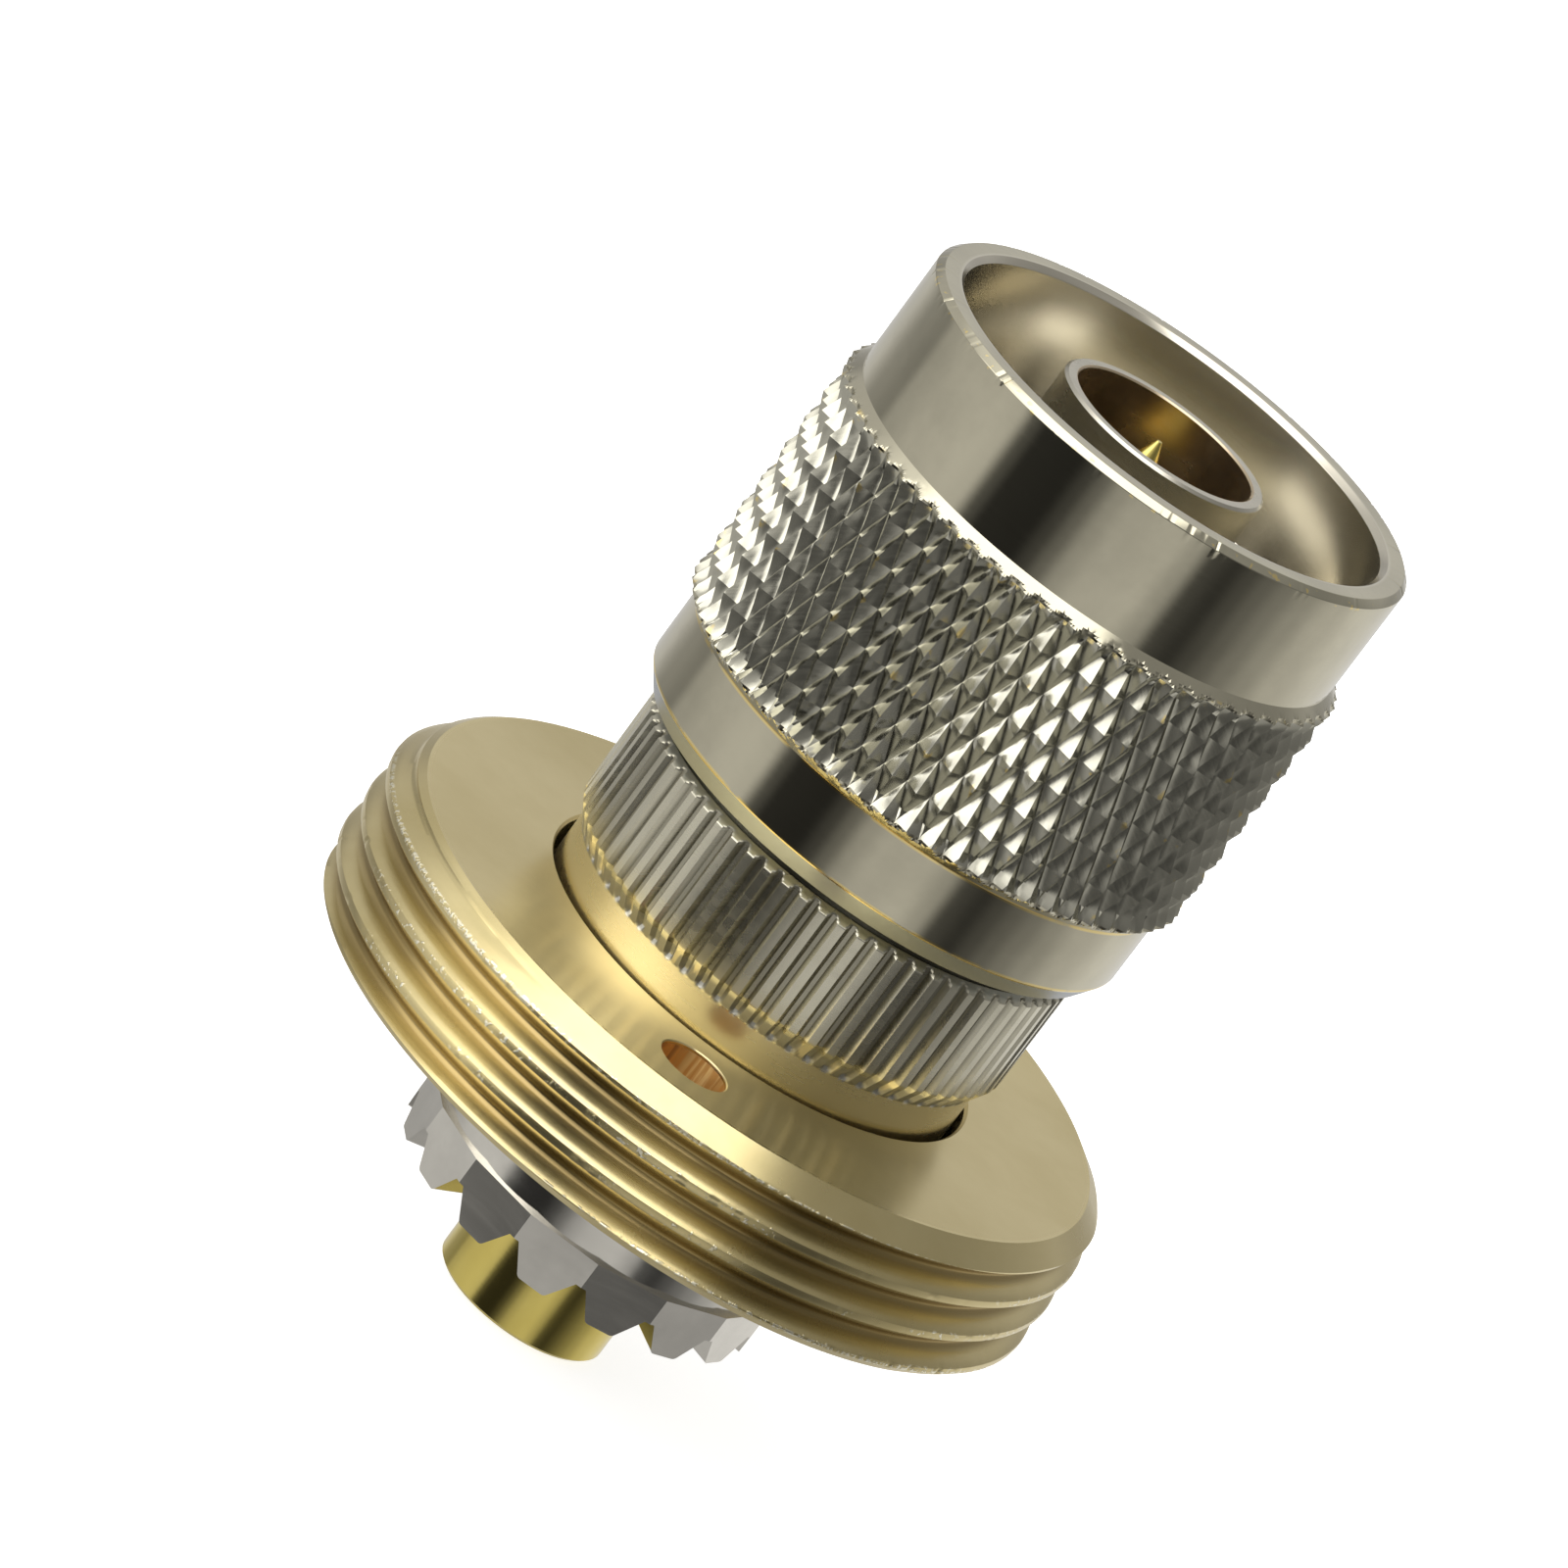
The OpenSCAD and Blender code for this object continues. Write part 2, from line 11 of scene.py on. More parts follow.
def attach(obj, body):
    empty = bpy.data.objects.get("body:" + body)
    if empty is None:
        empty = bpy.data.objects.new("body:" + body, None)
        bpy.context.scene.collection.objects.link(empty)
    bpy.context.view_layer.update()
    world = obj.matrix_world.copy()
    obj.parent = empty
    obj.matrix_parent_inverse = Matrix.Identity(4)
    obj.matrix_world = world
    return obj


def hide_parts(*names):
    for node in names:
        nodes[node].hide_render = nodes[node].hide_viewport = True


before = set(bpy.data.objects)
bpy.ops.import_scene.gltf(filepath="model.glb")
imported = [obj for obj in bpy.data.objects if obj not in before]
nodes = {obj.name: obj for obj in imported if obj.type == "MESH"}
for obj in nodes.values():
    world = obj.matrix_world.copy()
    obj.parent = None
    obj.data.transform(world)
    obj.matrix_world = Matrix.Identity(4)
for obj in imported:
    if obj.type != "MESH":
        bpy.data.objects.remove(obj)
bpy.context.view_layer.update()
scene = bpy.context.scene

# ---------------------------------------------------------------- camera
# The object's axis leans to the right in the picture, so the camera is rolled
TARGET = Vector((0, 0, 0.020))
ELEVATION = math.radians(18.93)
ROLL = math.radians(36.7)
DISTANCE = 0.330
FRAME_PX = 1600
FOCAL_PX = 10006
OFFSET_PX = (67.5, 74.3)
SENSOR = 36

data = bpy.data.cameras.new("camera")
data.sensor_width = SENSOR
data.lens = FOCAL_PX / FRAME_PX * SENSOR
data.clip_start, data.clip_end = 0.01, 10
camera = bpy.data.objects.new("camera", data)
scene.collection.objects.link(camera)
back = Vector((0, -math.cos(ELEVATION), math.sin(ELEVATION)))
seen = Vector((OFFSET_PX[0], -OFFSET_PX[1], -FOCAL_PX)).normalized()
camera.rotation_mode = "QUATERNION"
camera.location = TARGET + back * DISTANCE
camera.rotation_quaternion = (
    (-back).to_track_quat("-Z", "Y")
    @ Matrix.Rotation(ROLL, 3, "Z").to_quaternion()
    @ seen.rotation_difference(Vector((0, 0, -1)))
)
scene.camera = camera
scene.view_settings.view_transform = "Standard"
scene.view_settings.look = "None"


# ---------------------------------------------------------------- node helpers
class Tree:
    """Short calls for building a node tree."""

    def __init__(self, tree):
        self.tree = tree

    def add(self, kind, inputs=None, **settings):
        node = self.tree.nodes.new(kind)
        for key, value in settings.items():
            setattr(node, key, value)
        for key, value in (inputs or {}).items():
            self.put(node.inputs[key], value)
        return node

    def put(self, socket, value):
        if isinstance(value, bpy.types.NodeSocket):
            self.tree.links.new(value, socket)
        else:
            socket.default_value = value

    def math(self, operation, *values, clamp=False):
        return self.add(
            "ShaderNodeMath", dict(enumerate(values)), operation=operation, use_clamp=clamp
        ).outputs[0]

    def remap(self, value, low, high, out_low=0.0, out_high=1.0, smooth=True):
        kind = "SMOOTHSTEP" if smooth else "LINEAR"
        inputs = {0: value, 1: low, 2: high, 3: out_low, 4: out_high}
        return self.add("ShaderNodeMapRange", inputs, interpolation_type=kind, clamp=True).outputs[0]

    def mix(self, share, a, b):
        node = self.add("ShaderNodeMix", data_type="RGBA")
        self.put(node.inputs[0], share)
        self.put(node.inputs[6], a)
        self.put(node.inputs[7], b)
        return node.outputs[2]

    def vector(self, x, y, z):
        return self.add("ShaderNodeCombineXYZ", {0: x, 1: y, 2: z}).outputs[0]

    def noise(self, vector, scale, detail=2.0, rough=0.5, dims="3D"):
        inputs = {"Vector": vector, "Scale": scale, "Detail": detail, "Roughness": rough}
        return self.add("ShaderNodeTexNoise", inputs, noise_dimensions=dims).outputs[0]

    def ramp(self, value, stops, mode="EASE"):
        node = self.add("ShaderNodeValToRGB", {0: value})
        node.color_ramp.interpolation = mode
        elements = node.color_ramp.elements
        while len(elements) < len(stops):
            elements.new(0.5)
        for element, (place, level) in zip(elements, stops):
            element.position = place
            element.color = (level, level, level, 1) if isinstance(level, float) else (*level, 1)
        return node.outputs[0]


# ---------------------------------------------------------------- light
BRIGHTEST = 2.5


def build_world():
    """Soft studio light: a pale tent with dark flags and a large lamp above the left side."""
    world = bpy.data.worlds.new("studio")
    world.use_nodes = True
    tree = world.node_tree
    tree.nodes.clear()
    t = Tree(tree)
    coords = t.add("ShaderNodeTexCoord").outputs["Generated"]
    parts = t.add("ShaderNodeSeparateXYZ", {0: coords}).outputs
    # Azimuth from the camera's side, from -180 to 180 degrees as 0 to 1
    turn = t.math("ARCTAN2", parts[0], t.math("MULTIPLY", parts[1], -1.0))
    share = t.math("ADD", t.math("DIVIDE", turn, 2 * math.pi), 0.5)

    def around(*stops):
        """Level round the horizon, from (azimuth, level) pairs."""
        return t.ramp(share, [(degrees / 360 + 0.5, level / BRIGHTEST) for degrees, level in stops])

    sine = parts[2]
    # Levels at four heights: below the horizon, just above it, halfway up and overhead
    low = around(
        (-180, 0.62), (-150, 0.62), (-128, 0.34), (-113, 0.28), (-105, 0.48), (-88, 0.60),
        (-62, 0.66), (-53, 0.62), (-45, 0.10), (-39, 0.03), (-21, 0.025), (-14, 0.07), (-8, 0.18),
        (0, 0.44), (9, 0.58), (28, 0.64), (38, 0.46), (46, 0.08), (56, 0.045), (64, 0.09), (72, 0.16),
        (82, 0.26), (94, 0.40), (110, 0.62), (135, 0.78), (165, 0.76), (180, 0.62),
    )
    rim = around(
        (-180, 0.55), (-150, 0.34), (-110, 0.32), (-92, 0.42), (-74, 1.7), (-52, 2.4), (-38, 1.9),
        (-27, 0.16), (-14, 0.07), (38, 0.07), (52, 0.18), (100, 0.27), (150, 0.36), (180, 0.55),
    )
    mid = around(
        (-180, 0.64), (-150, 0.55), (-120, 0.60), (-92, 0.80), (-76, 1.9), (-50, 2.3), (-34, 1.9),
        (-20, 0.90), (0, 0.50), (30, 0.22), (60, 0.15), (96, 0.22), (130, 0.30), (155, 0.48), (180, 0.64),
    )
    high = around(
        (-180, 0.65), (-135, 1.10), (-100, 1.10), (-60, 1.3), (-20, 1.2), (20, 0.8), (60, 0.35),
        (110, 0.32), (135, 0.28), (165, 0.50), (180, 0.65),
    )
    deep = around(
        (-180, 0.50), (-60, 0.50), (-35, 0.20), (0, 0.10), (50, 0.14), (90, 0.35), (180, 0.50),
    )
    # The lamp hangs overhead, a little to the left and to the front
    overhead = t.math("MAXIMUM", sine, 0.05)
    right = t.math("DIVIDE", parts[0], overhead)
    front = t.math("DIVIDE", t.math("MULTIPLY", parts[1], -1.0), overhead)
    lamp = t.math("MULTIPLY", t.remap(right, -0.85, -0.65), t.remap(right, 0.22, 0.38, 1.0, 0.0))
    lamp = t.math("MULTIPLY", lamp, t.remap(front, -0.24, -0.04))
    lamp = t.math("MULTIPLY", lamp, t.remap(front, 1.1, 1.5, 1.0, 0.0))
    high = t.mix(lamp, high, (2.3 / BRIGHTEST,) * 3 + (1,))
    level = t.mix(t.remap(sine, -0.74, -0.52), deep, low)
    level = t.mix(t.remap(sine, -0.16, 0.0), level, rim)
    level = t.mix(t.remap(sine, 0.16, 0.32), level, mid)
    level = t.mix(t.remap(sine, 0.55, 0.80), level, high)
    strength = t.math("MULTIPLY", level, BRIGHTEST)
    background = t.add("ShaderNodeBackground", {0: (1.0, 0.985, 0.96, 1), 1: strength})
    t.add("ShaderNodeOutputWorld", {0: background.outputs[0]})
    scene.world = world


def build_floor():
    """White floor, bright enough to lose the object's shadow; metals see the tent instead of it."""
    size = 3.0
    mesh = bpy.data.meshes.new("floor")
    mesh.from_pydata([(-size, -size, 0), (size, -size, 0), (size, size, 0), (-size, size, 0)], [], [(0, 1, 2, 3)])
    floor = bpy.data.objects.new("floor", mesh)
    scene.collection.objects.link(floor)
    floor.location.z = -0.0002
    material = bpy.data.materials.new("floor_white")
    material.use_nodes = True
    shader = material.node_tree.nodes["Principled BSDF"]
    shader.inputs["Base Color"].default_value = (0.8, 0.8, 0.8, 1)
    shader.inputs["Roughness"].default_value = 0.9
    shader.inputs["Emission Color"].default_value = (1, 1, 1, 1)
    shader.inputs["Emission Strength"].default_value = 0.8
    mesh.materials.append(material)
    floor.visible_glossy = False



# ---------------------------------------------------------------- shapes
MM = 0.001
# Sizes in millimetres, as the frame has them
NUT_R = 9.5
NUT_Z = 21.5
RIM_Z = 39.055
KNURL_R = 10.0
KNURL_DEPTH = 0.47
KNURL_GROOVES = 64
KNURL_ROWS = 7
KNURL_ROW = 1.275
KNURL_Z = 25.24
KNURL_SHOULDER = 0.44
KNURL_TOP = KNURL_Z + KNURL_ROWS * KNURL_ROW
MOUTH_R = 8.4
MOUTH_Z = 34.755
JACK_PITCH = 25.4 / 24
JACK_MINOR = 7.37
JACK_MAJOR = 7.94
BODY_R = 8.62
BODY_FLUTES = 70
BODY_KNURL = 15.95
BODY_TOP = 21.1
RING_R = 14.5
RING_Z = 9.35
RING_TOP = 14.70
RING_PITCH = 1.5
RING_DEPTH = 0.70
RING_START = 12.33
THREAD_TURNS = 12
SPANNER_R = 1.28
SPANNER_AT = 10.85


def ripple(count, seed, low, high, decay=0.0):
    """Smooth closed noise round a circle: count samples from -1 to 1 with waves from low to high."""
    rng = np.random.default_rng(seed)
    angle = np.arange(count) * 2 * np.pi / count
    total = np.zeros(count)
    for wave in range(low, high):
        total += rng.normal() * np.cos(wave * angle + rng.uniform(0, 2 * np.pi)) * wave ** -decay
    return total / np.abs(total).max()


def rounded(points, steps=4):
    """Half section with its corners rounded. Each point is (radius, height) or (radius, height, rounding)."""
    result = []
    for i, point in enumerate(points):
        if len(point) < 3:
            result.append(point)
            continue
        here = np.array(point[:2])
        ways = []
        for other in (points[i - 1], points[(i + 1) % len(points)]):
            way = np.array(other[:2]) - here
            ways.append(way / np.linalg.norm(way))
        half = math.acos(max(-1, min(1, float(ways[0] @ ways[1])))) / 2
        reach = point[2] / math.tan(half)
        start, end = here + ways[0] * reach, here + ways[1] * reach
        centre = here + (ways[0] + ways[1]) / np.linalg.norm(ways[0] + ways[1]) * point[2] / math.sin(half)
        for k in range(steps + 1):
            share = k / steps
            spoke = (start - centre) * (1 - share) + (end - centre) * share
            result.append(tuple(centre + spoke / np.linalg.norm(spoke) * point[2]))
    return result


def dense(points, step, low=None, high=None):
    """Closed half section with its long sides divided, all of them or those between two heights."""
    result = []
    for a, b in zip(points, points[1:] + points[:1]):
        result.append(a)
        inside = low is None or (min(a[1], b[1]) >= low and max(a[1], b[1]) <= high)
        parts = math.ceil(math.dist(a, b) / step) if inside else 1
        result += [(a[0] + (b[0] - a[0]) * k / parts, a[1] + (b[1] - a[1]) * k / parts) for k in range(1, parts)]
    return result


def grid_object(name, radius, angle, height, sharp=30.0, split=None):
    """Closed surface from tables of columns by points: each column runs along the section, upwards outside.
    split says for each cell which of its diagonals is the edge."""
    columns, rows = radius.shape
    points = np.stack([radius * np.cos(angle), radius * np.sin(angle), height], axis=-1).reshape(-1, 3) * MM
    i, j = np.meshgrid(np.arange(columns), np.arange(rows), indexing="ij")
    a = i * rows + j
    b = (i + 1) % columns * rows + j
    c = (i + 1) % columns * rows + (j + 1) % rows
    d = i * rows + (j + 1) % rows
    if split is None:
        faces = np.stack([a, b, c, d], axis=-1).reshape(-1, 4)
    else:
        one = np.stack([a, b, c, a, c, d], axis=-1)
        two = np.stack([a, b, d, b, c, d], axis=-1)
        faces = np.where(split[..., None], one, two).reshape(-1, 3)
    mesh = bpy.data.meshes.new(name)
    mesh.from_pydata(points.tolist(), [], faces.tolist())
    work = bmesh.new()
    work.from_mesh(mesh)
    bmesh.ops.remove_doubles(work, verts=work.verts, dist=0.0000005)
    bmesh.ops.dissolve_degenerate(work, edges=work.edges, dist=0.0000002)
    work.to_mesh(mesh)
    work.free()
    mesh.shade_smooth()
    mesh.set_sharp_from_angle(angle=math.radians(sharp))
    piece = bpy.data.objects.new(name, mesh)
    scene.collection.objects.link(piece)
    return piece


def turned(section, columns, start=0.0):
    """Tables for a plain turned shape."""
    section = np.array(section)
    angle = start + np.arange(columns) * 2 * np.pi / columns
    radius = np.repeat(section[None, :, 0], columns, axis=0)
    height = np.repeat(section[None, :, 1], columns, axis=0)
    return radius, np.repeat(angle[:, None], len(section), axis=1), height


def place(piece, body, slot, material, *replaced):
    piece.data.materials.append(material)
    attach(piece, body)
    if replaced:
        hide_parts(*replaced)
    return piece


def nut_shell():
    """The nut without its diamond knurl, with the real thread inside and small nicks in the rim."""
    columns = 720
    outer = rounded([
        (6.48, NUT_Z + 0.1),
        (6.58, NUT_Z),
        (9.0, NUT_Z, 0.05),
        (NUT_R, NUT_Z + 0.75, 0.06),
        (NUT_R, RIM_Z - 0.60),
        (NUT_R, RIM_Z - 0.45),
        (NUT_R, RIM_Z - 0.22, 0.06),
        (NUT_R - 0.24, RIM_Z, 0.05),
        (MOUTH_R + 0.2, RIM_Z, 0.05),
        (MOUTH_R, RIM_Z - 0.2, 0.05),
        (MOUTH_R, MOUTH_Z),
    ])
    low, high = 25.3, MOUTH_Z - (MOUTH_R - JACK_MINOR)
    heights = np.arange(high, low, -JACK_PITCH / 8)
    bore = [(JACK_MINOR, z) for z in heights]
    inner = [(8.1, 24.57), (8.1, 23.3), (6.48, 23.3)]
    radius, angle, height = turned(outer + bore + inner, columns)
    # The thread
    z = height[:, len(outer):len(outer) + len(bore)]
    turn = angle[:, len(outer):len(outer) + len(bore)] / (2 * np.pi)
    share = (z / JACK_PITCH - turn) % 1
    tooth = np.clip((0.5 - np.abs(share - 0.5)) * 2.6 - 0.15, 0, 1)
    fade = np.clip((high - z) / 0.5, 0, 1) * np.clip((z - low) / 0.5, 0, 1)
    radius[:, len(outer):len(outer) + len(bore)] += (JACK_MAJOR - JACK_MINOR) * tooth * fade
    # Nicks along the outer edge of the rim
    rim = (height > RIM_Z - 0.40) & (radius > NUT_R - 0.45)
    wear = ripple(columns, 3, 50, 340)[:, None]
    radius -= np.where(rim, np.clip(wear - 0.5, 0, 1) * 0.11, 0)
    height -= np.where(rim, np.clip(wear - 0.5, 0, 1) * 0.07, 0)
    return grid_object("nut_shell", radius, angle, height)


def nut_knurl():
    """Sleeve of pointed diamonds, cut off by a cone at each end."""
    fine = 6
    half_turns = 2 * KNURL_GROOVES
    columns = half_turns * fine
    ends = np.linspace(0, KNURL_SHOULDER, 6)[1:]
    body = KNURL_Z + np.arange(KNURL_ROWS * fine + 1) * KNURL_ROW / fine
    rows = np.concatenate([KNURL_Z - ends[::-1], body, KNURL_TOP + ends])
    u = np.arange(columns)[:, None] / fine + np.zeros(len(rows))
    v = (rows[None, :] - KNURL_Z) / KNURL_ROW + np.zeros((columns, 1))
    # Distance from the grooves of each hand: 0 in the groove, 1 midway between two
    right = 1 - np.abs((u + v) % 2 - 1)
    left = 1 - np.abs((u - v) % 2 - 1)
    right, left = 1 - right, 1 - left
    rise = np.minimum(np.minimum(right, left * 0.96 + 0.04), 0.955)
    jitter = np.random.default_rng(11).normal(0, 0.016, (half_turns, KNURL_ROWS + 2))
    cell = jitter[(np.floor(u + 0.5).astype(int) % half_turns), np.clip(np.floor(v + 0.5).astype(int), 0, KNURL_ROWS + 1)]
    # Grooves run out towards the ends, so that a plain cone is left there
    share = np.clip((np.maximum(KNURL_Z - rows, rows - KNURL_TOP) + 0.35) / 0.40, 0, 1)
    depth = KNURL_DEPTH * (1 - 0.5 * share)[None, :]
    radius = KNURL_R - depth * (1 - rise ** 1.3) + cell * rise
    outside = np.maximum(KNURL_Z - rows, rows - KNURL_TOP)[None, :]
    cone = KNURL_R - np.clip(outside, 0, None) * (KNURL_R - NUT_R) / KNURL_SHOULDER
    radius = np.minimum(radius, cone)
    angle = u * np.pi / KNURL_GROOVES
    height = rows[None, :] + np.zeros((columns, 1))
    # Inner wall, inside the nut's metal
    wall = np.full((columns, 1), NUT_R - 0.2)
    radius = np.concatenate([radius, wall, wall], axis=1)
    angle = np.concatenate([angle, angle[:, :1], angle[:, :1]], axis=1)
    height = np.concatenate([height, height[:, -1:], height[:, :1]], axis=1)
    # Each cell is cut along its groove
    count = radius.shape[1]
    split = np.zeros((columns, count), bool)
    middle_u = np.arange(columns)[:, None] / fine + 0.5 / fine
    middle_v = np.append(v[0], [0, 0])[None, :] + 0.5 / fine
    split[:] = (np.floor(middle_u) + np.floor(middle_v)) % 2 == 1
    return grid_object("nut_knurl", radius, angle, height, 12.0, split)


def fluted_body():
    """Body with its straight knurl, plain collar and neck."""
    fine = 10
    columns = BODY_FLUTES * fine
    section = rounded([
        (4.62, 6.83), (5.4, 6.83), (5.4, 9.3), (8.05, 9.3), (8.15, 9.4),
        (8.15, BODY_KNURL - 0.25), (8.15, BODY_KNURL - 0.08), (8.15, BODY_KNURL),
        (BODY_R, BODY_KNURL + 0.8, 0.1),
        (BODY_R, BODY_TOP - 0.3, 0.08),
        (BODY_R - 0.3, BODY_TOP, 0.06),
        (7.5, BODY_TOP), (7.5, 21.45), (6.4, 21.45), (6.4, 23.325), (5.9, 23.325), (5.9, 24.175), (6.4, 24.175),
        (6.4, 27.1), (6.2, 27.3), (4.02, 27.3), (4.02, 24.2), (4.62, 24.2),
    ])
    section = dense(section, 0.07, BODY_KNURL - 0.01, BODY_TOP + 0.01)
    radius, angle, height = turned(section, columns)
    share = (np.arange(columns) % fine) / fine
    depth = 0.21 * np.clip((0.27 - np.abs(share - 0.5)) / 0.14, 0, 1)
    vary = 1 + 0.10 * np.repeat(np.random.default_rng(5).normal(0, 1, BODY_FLUTES), fine)
    cut = (BODY_R - depth * vary)[:, None]
    zone = (height > BODY_KNURL - 0.001) & (height < BODY_TOP + 0.001) & (radius > 8.16)
    cone = zone & (height < BODY_KNURL + 0.8)
    follow = radius - (depth * vary)[:, None] * np.clip((height - BODY_KNURL) / 0.2, 0, 1)
    radius = np.where(cone, follow, np.where(zone, np.minimum(radius, cut), radius))
    return grid_object("fluted_body", radius, angle, height, 28.0)


def ring_screw():
    """Threaded ring: a right-hand thread with rounded roots, worn crests, burrs and two spanner holes."""
    columns = 720
    angle = np.linspace(0, 2 * np.pi, columns + 1)
    flank = RING_DEPTH * math.tan(math.radians(30)) / RING_PITCH
    crest = 0.35 / RING_PITCH
    root = 1 - crest - 2 * flank
    top, low = RING_R - 0.01, RING_R - RING_DEPTH
    # One pitch of the thread, upwards from the lower edge of the crest: share of the pitch and radius
    thread = [
        (0.0, top - 0.06), (0.03, top - 0.02), (crest / 2, top), (crest - 0.03, top - 0.02), (crest, top - 0.06),
        (crest + flank * 0.33, top - RING_DEPTH * 0.33), (crest + flank * 0.66, top - RING_DEPTH * 0.66),
        (crest + flank * 0.92, low + 0.06), (crest + flank + root * 0.30, low - 0.02),
        (crest + flank + root * 0.55, low - 0.03), (1 - flank * 1.05, low + 0.03),
        (1 - flank * 0.66, top - RING_DEPTH * 0.66), (1 - flank * 0.33, top - RING_DEPTH * 0.33),
    ]
    shares = np.array([p[0] for p in thread])
    radii = np.array([p[1] for p in thread])
    turns = np.arange(-5, 4)
    start = RING_START + RING_PITCH * (angle + np.pi / 2) / (2 * np.pi)
    low_z, high_z = RING_Z, RING_TOP
    bevel_z, bevel_r = RING_TOP - 0.72, RING_R - 0.96
    foot_z, foot_r = RING_Z + 0.35, RING_R - 0.35
    helix = (start[:, None, None] + RING_PITCH * (turns[None, :, None] + shares[None, None, :])).reshape(len(angle), -1)
    fixed = np.concatenate([
        np.linspace(low_z, foot_z, 4), np.linspace(bevel_z - 0.05, high_z, 9)])
    heights = np.sort(np.concatenate([
        np.clip(helix, low_z, high_z), np.repeat(fixed[None, :], len(angle), axis=0)], axis=1), axis=1)
    share = ((heights - start[:, None]) / RING_PITCH) % 1
    cut = np.interp(share.ravel(), np.append(shares, 1), np.append(radii, radii[0])).reshape(share.shape)
    blank = np.interp(heights.ravel(), [low_z, foot_z, bevel_z, high_z], [foot_r, RING_R, RING_R, bevel_r]).reshape(heights.shape)
    # Burrs and dents along the crests
    turn_no = np.floor((heights - start[:, None]) / RING_PITCH).astype(int) + THREAD_TURNS // 2
    along = turn_no * columns + np.arange(columns + 1)[:, None]
    fine = ripple(columns * THREAD_TURNS, 21, 500, 2600)[along]
    rough = np.clip(ripple(columns * THREAD_TURNS, 8, 20, 90)[along] * 1.6, 0, 1)
    burr = -0.18 * np.clip(fine - 0.35, 0, 1) * (0.2 + rough) + 0.012 * fine * rough
    near_top = np.clip((cut - (RING_R - 0.10)) / 0.09, 0, 1)
    radius = np.minimum(cut + burr * near_top, blank)
    # Upper face, bore and lower face
    inner = rounded([(bevel_r - 0.01, high_z), (8.5, high_z), (8.4, high_z - 0.1), (8.4, low_z + 0.1), (8.5, low_z)], 3)
    radius = np.concatenate([radius] + [np.full((len(angle), 1), p[0]) for p in inner], axis=1)
    heights = np.concatenate([heights] + [np.full((len(angle), 1), p[1]) for p in inner], axis=1)
    ring = grid_open("ring_screw", radius, np.repeat(angle[:, None], radius.shape[1], axis=1), heights)
    for side in (-1, 1):
        edge = 0.04
        section = [(0.0, low_z - 1), (SPANNER_R, low_z - 1), (SPANNER_R, high_z - edge), (SPANNER_R + 1 + edge, high_z + 1), (0.0, high_z + 1)]
        cutter = grid_object("cutter", *turned(section, 64))
        cutter.location.y = side * SPANNER_AT * MM
        subtract(ring, cutter)
    ring.data.shade_smooth()
    ring.data.set_sharp_from_angle(angle=math.radians(32))
    return ring


def subtract(piece, cutter):
    """Cuts one object out of another, and removes it."""
    change = piece.modifiers.new("cut", "BOOLEAN")
    change.operation, change.solver, change.object = "DIFFERENCE", "EXACT", cutter
    shape = bpy.data.meshes.new_from_object(piece.evaluated_get(bpy.context.evaluated_depsgraph_get()))
    piece.modifiers.clear()
    piece.data = shape
    bpy.data.objects.remove(cutter)


def grid_open(name, radius, angle, height):
    """As grid_object, for columns whose points shift by one thread in a turn: the last column lies on the first."""
    columns, rows = radius.shape
    points = np.stack([radius * np.cos(angle), radius * np.sin(angle), height], axis=-1).reshape(-1, 3) * MM
    i, j = np.meshgrid(np.arange(columns - 1), np.arange(rows), indexing="ij")
    a, b = i * rows + j, (i + 1) * rows + j
    c, d = (i + 1) * rows + (j + 1) % rows, i * rows + (j + 1) % rows
    faces = np.stack([a, b, c, d], axis=-1).reshape(-1, 4)
    mesh = bpy.data.meshes.new(name)
    mesh.from_pydata(points.tolist(), [], faces.tolist())
    work = bmesh.new()
    work.from_mesh(mesh)
    bmesh.ops.remove_doubles(work, verts=work.verts, dist=0.000001)
    bmesh.ops.dissolve_degenerate(work, edges=work.edges, dist=0.0000002)
    work.to_mesh(mesh)
    work.free()
    piece = bpy.data.objects.new(name, mesh)
    scene.collection.objects.link(piece)
    return piece


